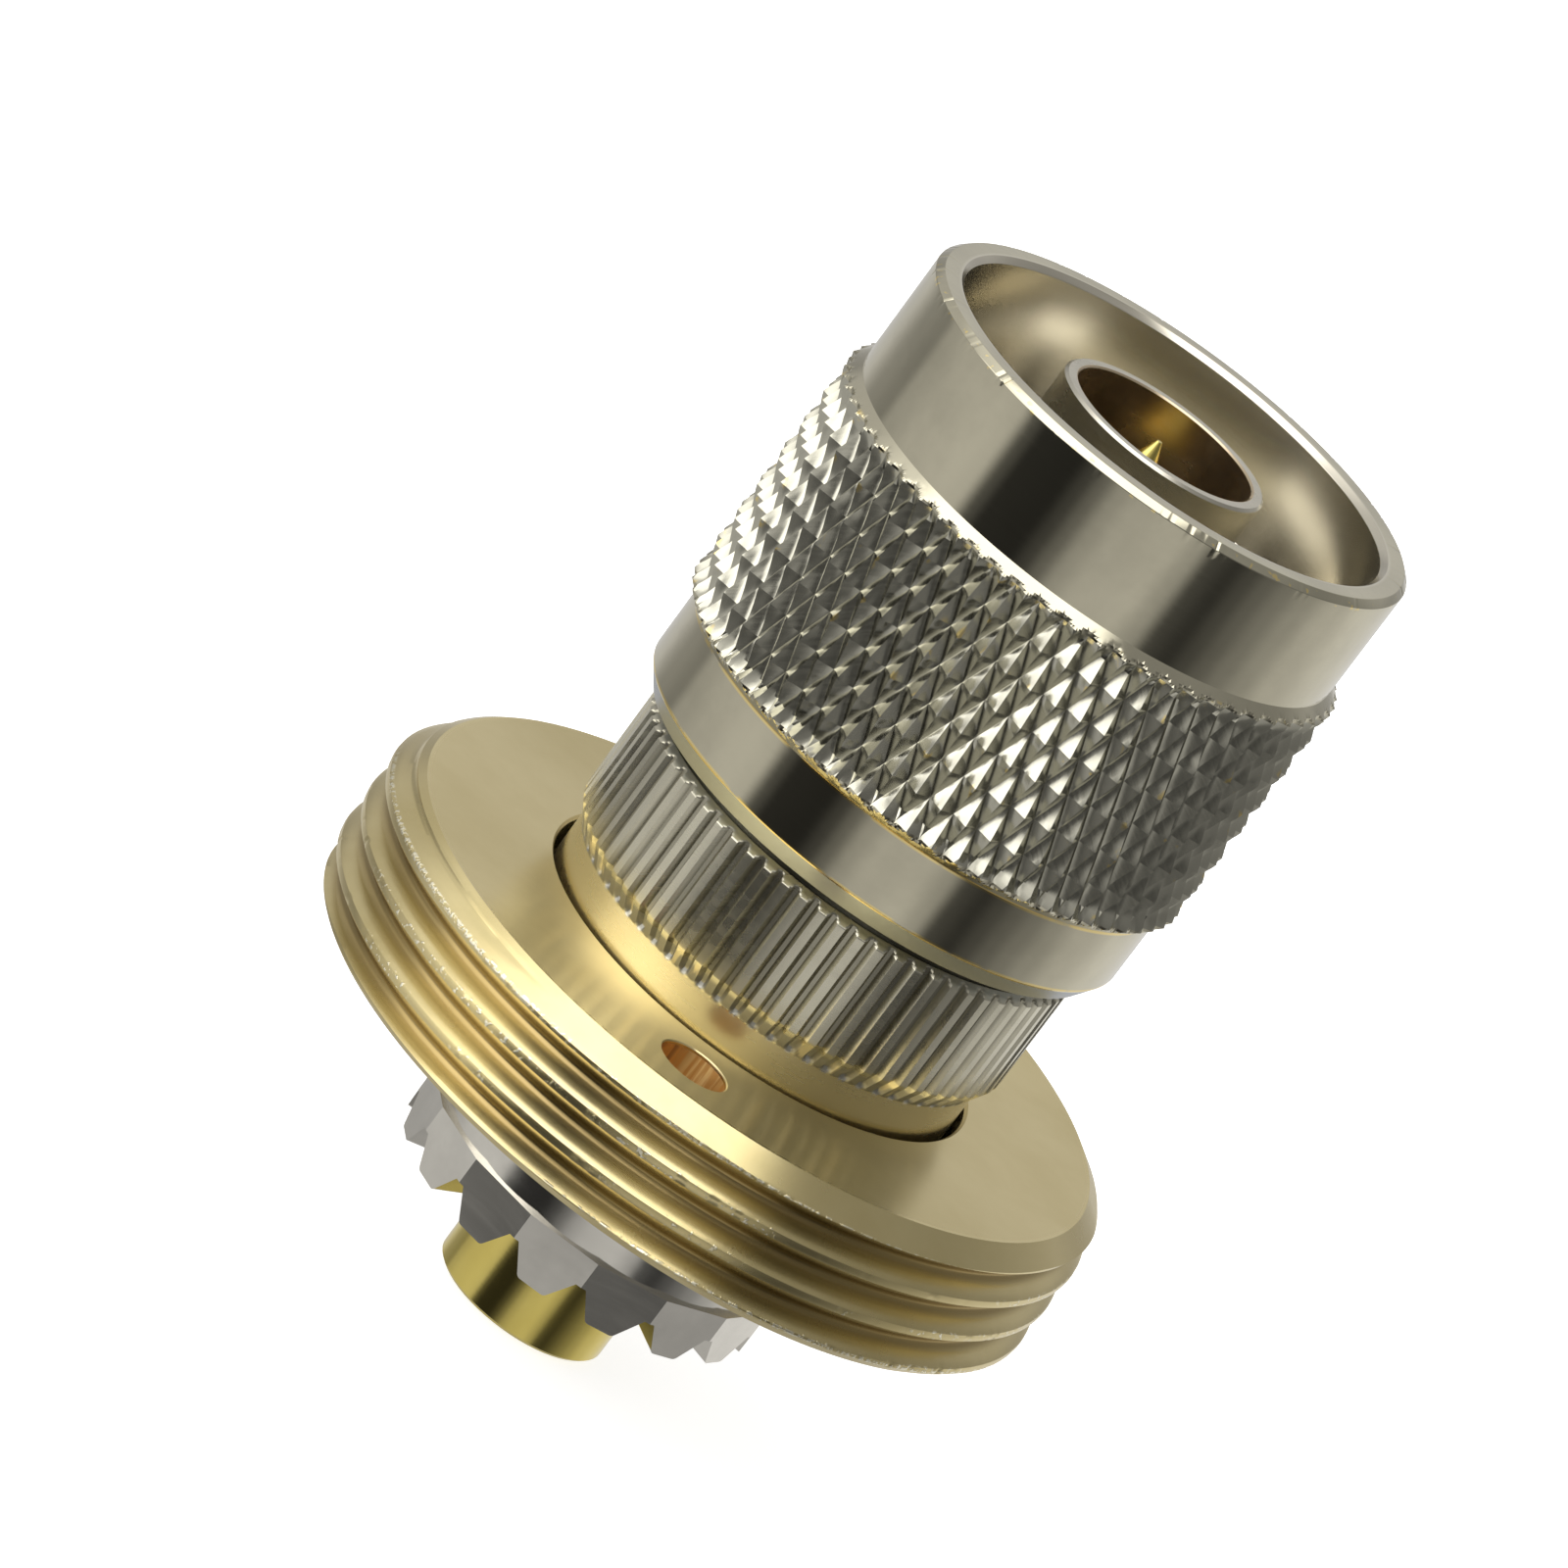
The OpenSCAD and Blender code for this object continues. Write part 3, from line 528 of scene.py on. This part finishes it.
# ---------------------------------------------------------------- materials
class Metal:
    """Start of a turned metal: cylinder coordinates, fine turning lines and soft blotches."""

    def __init__(self, name):
        self.material = bpy.data.materials.new(name)
        self.material.use_nodes = True
        tree = self.material.node_tree
        self.shader = tree.nodes["Principled BSDF"]
        self.t = t = Tree(tree)
        self.coords = t.add("ShaderNodeTexCoord").outputs["Object"]
        self.x, self.y, self.z = t.add("ShaderNodeSeparateXYZ", {0: self.coords}).outputs
        self.angle = t.math("ARCTAN2", self.y, self.x)
        self.radius = t.math("SQRT", t.math("ADD", t.math("MULTIPLY", self.x, self.x), t.math("MULTIPLY", self.y, self.y)))
        self.shader.inputs["Metallic"].default_value = 1.0

    def lines(self, fine, along=1.6, detail=3.0):
        """Turning lines: noise drawn out round the axis."""
        t = self.t
        across = t.math("ADD", self.z, self.radius)
        vector = t.vector(t.math("MULTIPLY", across, fine), t.math("MULTIPLY", self.angle, along), 0.0)
        return t.noise(vector, 1.0, detail, 0.6)

    def finish(self, colour, roughness, height, strength, depth=0.00002, normal=None):
        t = self.t
        t.put(self.shader.inputs["Base Color"], colour)
        t.put(self.shader.inputs["Roughness"], roughness)
        inputs = {"Strength": strength, "Distance": depth, "Height": height}
        bump = t.add("ShaderNodeBump", inputs)
        t.put(self.shader.inputs["Normal"], bump.outputs[0])
        return self.material


    def between(self, value, low, high, soft=0.05):
        """1 where a length lies between two others, in millimetres, and 0 elsewhere."""
        t = self.t
        rise = t.remap(value, (low - soft) * MM, (low + soft) * MM)
        fall = t.remap(value, (high - soft) * MM, (high + soft) * MM, 1.0, 0.0)
        return t.math("MULTIPLY", rise, fall)

    def near(self, z, r, reach):
        """Closeness from 0 to 1 to the circle at one height and radius, in millimetres."""
        t = self.t
        up = t.math("POWER", t.math("DIVIDE", t.math("SUBTRACT", self.z, z * MM), reach * MM), 2.0)
        out = t.math("POWER", t.math("DIVIDE", t.math("SUBTRACT", self.radius, r * MM), reach * MM), 2.0)
        return t.remap(t.math("ADD", up, out), 0.15, 1.0, 1.0, 0.0)


WORN = (0.86, 0.70, 0.33, 1)


def nickel(name, colour=(0.62, 0.585, 0.45), rough=(0.07, 0.11), lines=6000.0, bump=0.04):
    m = Metal(name)
    t = m.t
    blotch = t.noise(m.coords, 260.0, 4.0, 0.6)
    streak = m.lines(lines)
    dull = [c * 0.88 for c in colour]
    shade = t.mix(t.remap(blotch, 0.35, 0.7), (*colour, 1), (*dull, 1))
    roughness = t.math("ADD", t.remap(blotch, 0.3, 0.7, rough[0], rough[1]), t.remap(streak, 0.35, 0.75, -0.015, 0.025))
    m.shade, m.roughness, m.streak, m.bump = shade, roughness, streak, bump
    return m


def nut_nickel(name):
    """Bright plating: brass shows through at worn edges, the inside and the lower chamfer are duller."""
    m = nickel(name)
    t = m.t
    inside = t.remap(m.radius, 8.55 * MM, 8.75 * MM, 1.0, 0.0)
    m.shade = t.mix(inside, m.shade, (0.75, 0.71, 0.60, 1))
    m.roughness = t.math("MAXIMUM", m.roughness, t.math("MULTIPLY", inside, 0.20))
    foot = m.between(m.z, NUT_Z - 0.5, NUT_Z + 0.70)
    m.shade = t.mix(foot, m.shade, (0.50, 0.54, 0.60, 1))
    m.roughness = t.math("MAXIMUM", m.roughness, t.math("MULTIPLY", foot, 0.34))
    cut = t.math("MULTIPLY", m.between(m.z, KNURL_Z, KNURL_TOP), t.remap(m.radius, 9.4 * MM, 9.5 * MM))
    m.shade = t.mix(cut, m.shade, (0.61, 0.595, 0.50, 1))
    m.roughness = t.math("MAXIMUM", m.roughness, t.math("MULTIPLY", cut, t.remap(m.streak, 0.3, 0.7, 0.12, 0.20)))
    around = t.noise(t.vector(t.math("MULTIPLY", m.angle, 9.0), t.math("MULTIPLY", m.z, 900.0), 0.0), 1.0, 3.0)
    worn = t.math("MAXIMUM", m.near(KNURL_Z - KNURL_SHOULDER, NUT_R, 0.10), m.near(NUT_Z + 0.75, NUT_R, 0.09))
    worn = t.math("MULTIPLY", worn, t.remap(around, 0.34, 0.50))
    specks = t.math("MULTIPLY", t.remap(t.noise(m.coords, 1500.0, 2.0), 0.62, 0.68), t.remap(m.radius, 9.75 * MM, 9.9 * MM))
    rim = t.math("MULTIPLY", m.near(RIM_Z - 0.16, NUT_R - 0.04, 0.20), t.remap(t.noise(m.coords, 2600.0, 2.0), 0.62, 0.68))
    m.shade = t.mix(t.math("MAXIMUM", worn, t.math("MAXIMUM", specks, rim)), m.shade, WORN)
    return m.finish(m.shade, m.roughness, m.streak, m.bump)


def body_nickel(name):
    """Plating on the knurl, worn to brass at its lower end and over the plain collar below it, with painted shade in
    the bottoms of the flutes.
    """
    m = nickel(name, (0.70, 0.67, 0.54), (0.24, 0.30), 2600.0, 0.03)
    t = m.t
    around = t.noise(t.vector(t.math("MULTIPLY", m.angle, 14.0), t.math("MULTIPLY", m.z, 500.0), 0.0), 1.0, 3.0)
    # Painted shade: the bottoms of the flutes above the collar are coloured darker, so that they read as shaded grooves
    flute_shade = t.math("MULTIPLY", t.remap(m.z, BODY_KNURL * MM, (BODY_KNURL + 0.8) * MM), t.remap(m.radius, 8.44 * MM, 8.56 * MM, 1.0, 0.0))
    m.shade = t.mix(flute_shade, m.shade, (0.40, 0.38, 0.30, 1))
    collar = t.remap(m.z, (BODY_KNURL - 0.05) * MM, (BODY_KNURL + 0.05) * MM, 1.0, 0.0)
    foot = t.math("MULTIPLY", m.between(m.z, BODY_KNURL, BODY_KNURL + 0.85, 0.25), t.remap(around, 0.55, 0.64))
    cone = m.between(m.z, BODY_KNURL, BODY_KNURL + 0.6, 0.1)
    m.shade = t.mix(cone, m.shade, (0.42, 0.41, 0.36, 1))
    m.roughness = t.math("MAXIMUM", m.roughness, t.math("MULTIPLY", cone, 0.5))
    m.shade = t.mix(t.math("MAXIMUM", collar, foot), m.shade, (0.84, 0.765, 0.54, 1))
    m.roughness = t.math("MAXIMUM", m.roughness, t.math("MULTIPLY", collar, 0.27))
    return m.finish(m.shade, m.roughness, m.streak, m.bump)


def ring_brass(name):
    """Turned brass, with burrs on the crests whose bright glints are painted, painted shade in the roots of the thread,
    and warm unpolished holes whose walls are painted dark on one side and bright on the other.
    """
    m = Metal(name)
    t = m.t
    blotch = t.noise(m.coords, 180.0, 5.0, 0.6)
    streak = m.lines(6000.0, 2.0)
    shade = t.mix(t.remap(blotch, 0.3, 0.75), (0.78, 0.665, 0.36, 1), (0.70, 0.585, 0.29, 1))
    side = t.math("SUBTRACT", t.math("ABSOLUTE", m.y), SPANNER_AT * MM)
    off = t.math("SQRT", t.math("ADD", t.math("MULTIPLY", m.x, m.x), t.math("MULTIPLY", side, side)))
    hole = t.math("MULTIPLY", t.remap(off, 1.30 * MM, 1.36 * MM, 1.0, 0.0), t.remap(m.z, 14.55 * MM, 14.6 * MM, 1.0, 0.0))
    drag = t.noise(t.vector(t.math("MULTIPLY", m.x, 5000.0), 0.0, t.math("MULTIPLY", m.z, 300.0)), 1.0, 3.0)
    # Painted shade and light: each spanner hole's wall is coloured dark brown towards -x and bright orange towards +x,
    # with drag marks over it
    hole_drag_and_painted_light = t.mix(t.remap(m.x, -1.1 * MM, 0.1 * MM), (0.36, 0.17, 0.05, 1), (1.0, 0.76, 0.32, 1))
    hole_drag_and_painted_light = t.mix(t.remap(drag, 0.40, 0.60), (0.72, 0.40, 0.12, 1), hole_drag_and_painted_light)
    shade = t.mix(hole, shade, hole_drag_and_painted_light)
    # Painted shade: the roots of the thread below the top turn are coloured dark brown, as if shaded
    root = t.remap(m.radius, 13.75 * MM, 14.15 * MM, 1.0, 0.0)
    root = t.math("MULTIPLY", root, t.remap(m.z, 13.90 * MM, 13.95 * MM, 1.0, 0.0))
    root = t.math("MULTIPLY", root, t.remap(m.radius, 13.2 * MM, 13.4 * MM))
    shade = t.mix(t.math("MULTIPLY", root, 0.75), shade, (0.33, 0.22, 0.07, 1))
    # Painted highlights: pale, nearly white specks on the burred crest edges and the lower lip, standing in for glints
    patch = t.remap(t.noise(m.coords, 260.0, 2.0), 0.50, 0.62)
    edge = t.math("MULTIPLY", t.remap(m.radius, 14.40 * MM, 14.47 * MM), t.remap(t.noise(m.coords, 5200.0, 2.0), 0.58, 0.64))
    edge = t.math("MULTIPLY", edge, patch)
    rough = t.remap(t.noise(m.coords, 4200.0, 3.0, 0.7), 0.48, 0.56)
    lip_glint = t.math("MAXIMUM", m.near(13.93, 14.46, 0.13), m.near(RING_Z + 0.36, 14.47, 0.10))
    wide = t.remap(t.noise(m.coords, 170.0, 2.0), 0.36, 0.46)
    edge = t.math("MAXIMUM", edge, t.math("MULTIPLY", t.math("MULTIPLY", lip_glint, rough), wide))
    shade = t.mix(edge, shade, (1.0, 0.95, 0.74, 1))
    roughness = t.math("MAXIMUM", t.remap(blotch, 0.3, 0.7, 0.21, 0.28), t.math("MULTIPLY", hole, 0.36))
    top = t.math("MULTIPLY", m.between(m.z, 14.6, 15.0), t.remap(m.radius, 13.4 * MM, 13.5 * MM, 1.0, 0.0))
    roughness = t.math("MAXIMUM", roughness, t.math("MULTIPLY", top, 0.29))
    t.put(m.shader.inputs["Metallic"], t.remap(hole, 0.0, 1.0, 1.0, 0.7))
    m.shader.inputs["Anisotropic"].default_value = 0.85
    m.shader.inputs["Anisotropic Rotation"].default_value = 0.25
    t.put(m.shader.inputs["Tangent"], t.add("ShaderNodeTangent", direction_type="RADIAL", axis="Z").outputs[0])
    grain = t.math("ADD", streak, t.math("MULTIPLY", edge, 2.0))
    return m.finish(shade, roughness, grain, 0.3)


def gold(name):
    m = Metal(name)
    t = m.t
    blotch = t.noise(m.coords, 300.0, 4.0, 0.6)
    streak = m.lines(9000.0)
    shade = t.mix(t.remap(blotch, 0.3, 0.75), (0.80, 0.66, 0.20, 1), (0.74, 0.60, 0.16, 1))
    roughness = t.remap(blotch, 0.3, 0.7, 0.12, 0.18)
    return m.finish(shade, roughness, streak, 0.15)


def plastic(name):
    m = Metal(name)
    t = m.t
    m.shader.inputs["Metallic"].default_value = 0.0
    m.shader.inputs["Subsurface Weight"].default_value = 0.2
    m.shader.inputs["Subsurface Radius"].default_value = (0.001, 0.001, 0.0008)
    cloud = t.noise(m.coords, 400.0, 3.0)
    shade = t.mix(cloud, (0.86, 0.84, 0.78, 1), (0.80, 0.77, 0.70, 1))
    return m.finish(shade, t.remap(cloud, 0.3, 0.7, 0.4, 0.55), cloud, 0.1)


def dress(name, material):
    nodes[name].data.materials.clear()
    nodes[name].data.materials.append(material)


build_world()
build_floor()

nut_metal = nut_nickel("nut_nickel")
place(nut_shell(), "nut", "nut_nickel", nut_metal, "coupling_nut")
place(nut_knurl(), "nut", "nut_nickel", nut_metal)
place(fluted_body(), "adapter_body", "body_nickel", body_nickel("body_nickel"), "knurled_body")
for node, name, colour, rough in (
    ("outer_conductor", "tube_nickel", (0.64, 0.61, 0.52), (0.20, 0.30)),
    ("nut_snap_ring", "spring_steel", (0.5, 0.48, 0.44), (0.25, 0.35)),
    # The crown's plating is coloured paler than the other nickel: a painted reflection of the white floor, which the
    # metals don't see
    ("crown_ring", "crown_nickel", (0.79, 0.765, 0.70), (0.11, 0.17)),
):
    m = nickel(name, colour, rough, 2600.0, 0.03)
    if node == "outer_conductor":
        bore = m.t.remap(m.radius, 3.55 * MM, 3.6 * MM, 1.0, 0.0)
        m.shade = m.t.mix(bore, m.shade, (0.66, 0.54, 0.37, 1))
    dress(node, m.finish(m.shade, m.roughness, m.streak, m.bump))
place(ring_screw(), "ring", "ring_brass", ring_brass("ring_brass"), "threaded_ring")
dress("line_bush", gold("bush_brass"))
for name in ("port_sleeve", "rear_contact", "centre_conductor"):
    dress(name, gold(name + "_gold"))
bead = plastic("bead_plastic")
dress("front_bead", bead)
dress("rear_bead", bead)
